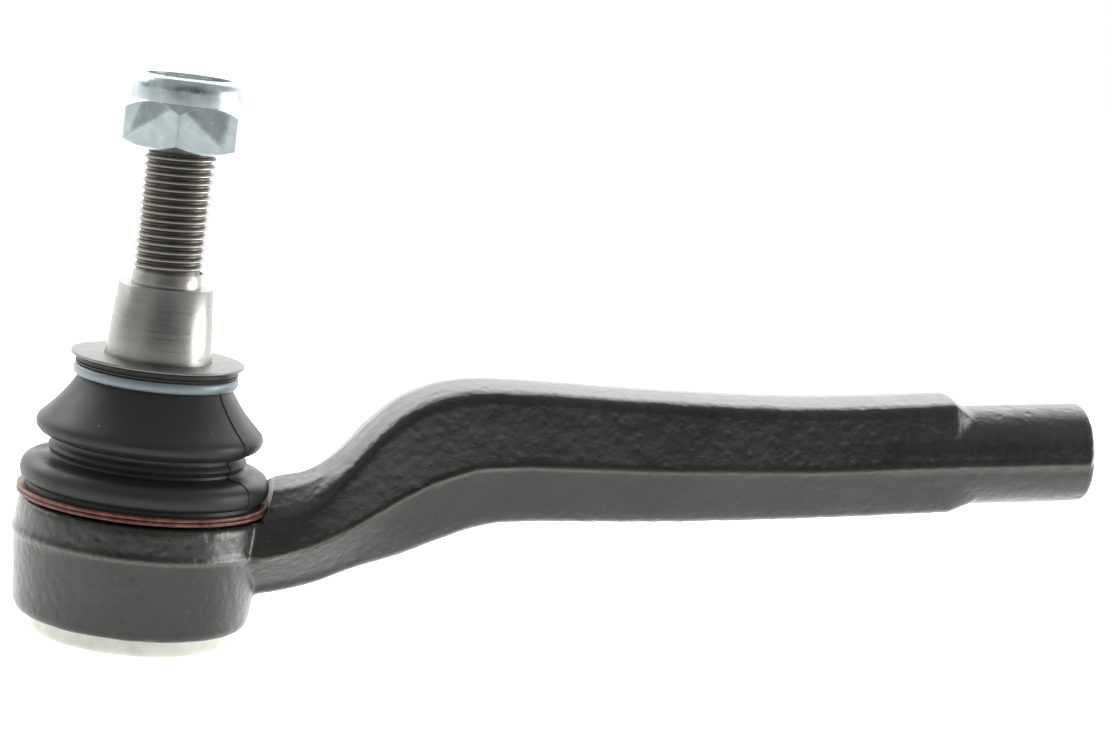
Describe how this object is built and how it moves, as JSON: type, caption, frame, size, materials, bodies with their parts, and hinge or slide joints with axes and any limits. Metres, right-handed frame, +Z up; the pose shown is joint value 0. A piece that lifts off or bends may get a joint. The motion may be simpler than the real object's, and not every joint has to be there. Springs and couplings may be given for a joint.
{
  "type": "tie rod end",
  "caption": "Forged steering tie rod end: an eye with a tilting ball stud, dust boot and lock nut, and an S-bent arm with a threaded socket in its round end.",
  "frame": {"origin": "centre of the ball", "axes": "+Z up the stud at rest, towards the lock nut; +X along the arm, towards its threaded end; +Y completes the right-handed frame"},
  "size_m": [0.2175, 0.0498, 0.1098],
  "materials": {
    "black_paint": "satin",
    "ground_steel": "satin",
    "zinc_plate": "satin",
    "spring_steel": "satin",
    "bright_steel": "polished",
    "clip_coating": "satin",
    "clamp_coating": "satin",
    "pale_plate": "satin",
    "black_rubber": "satin",
    "bearing_plastic": "matte",
    "nylon": "matte"
  },
  "bodies": {
    "housing": {"forged_body": "black_paint", "end_cover": "pale_plate", "cover_seal": "black_rubber", "preload_spring": "spring_steel", "pressure_plate": "spring_steel", "boot_lower_clamp": "clamp_coating"},
    "race": {"bearing_seat_lower": "bearing_plastic", "bearing_seat_upper": "bearing_plastic", "dust_boot": "black_rubber"},
    "boot_top": {"boot_collar_plate": "bright_steel", "boot_upper_clip": "clip_coating"},
    "stud": {"ball_stud": "ground_steel"},
    "nut_carrier": {"nut_insert": "nylon"},
    "nut": {"lock_nut": "zinc_plate"}
  },
  "joints": [
    {"name": "swivel_direction", "type": "hinge", "parent": "housing", "child": "race", "pos_m": [0, 0, 0], "axis": [0, 0, 1], "continuous": true},
    {"name": "stud_tilt", "type": "hinge", "parent": "race", "child": "boot_top", "pos_m": [0, 0, 0], "axis": [0, 1, 0], "range_deg": [-20, 20], "deforming": ["dust_boot"]},
    {"name": "stud_spin", "type": "hinge", "parent": "boot_top", "child": "stud", "pos_m": [0, 0, 0], "axis": [0, 0, 1], "continuous": true},
    {"name": "nut_travel", "type": "slide", "parent": "stud", "child": "nut_carrier", "axis": [0, 0, 1], "range_m": [-0.021, 0.012]},
    {"name": "nut_turn", "type": "hinge", "parent": "nut_carrier", "child": "nut", "pos_m": [0, 0, 0.0852], "axis": [0, 0, 1], "range_deg": [-5046, 2886]}
  ],
  "couplings": [
    {"joint": "nut_turn", "follows": "nut_travel", "rad_per_m": 4188.8}
  ]
}
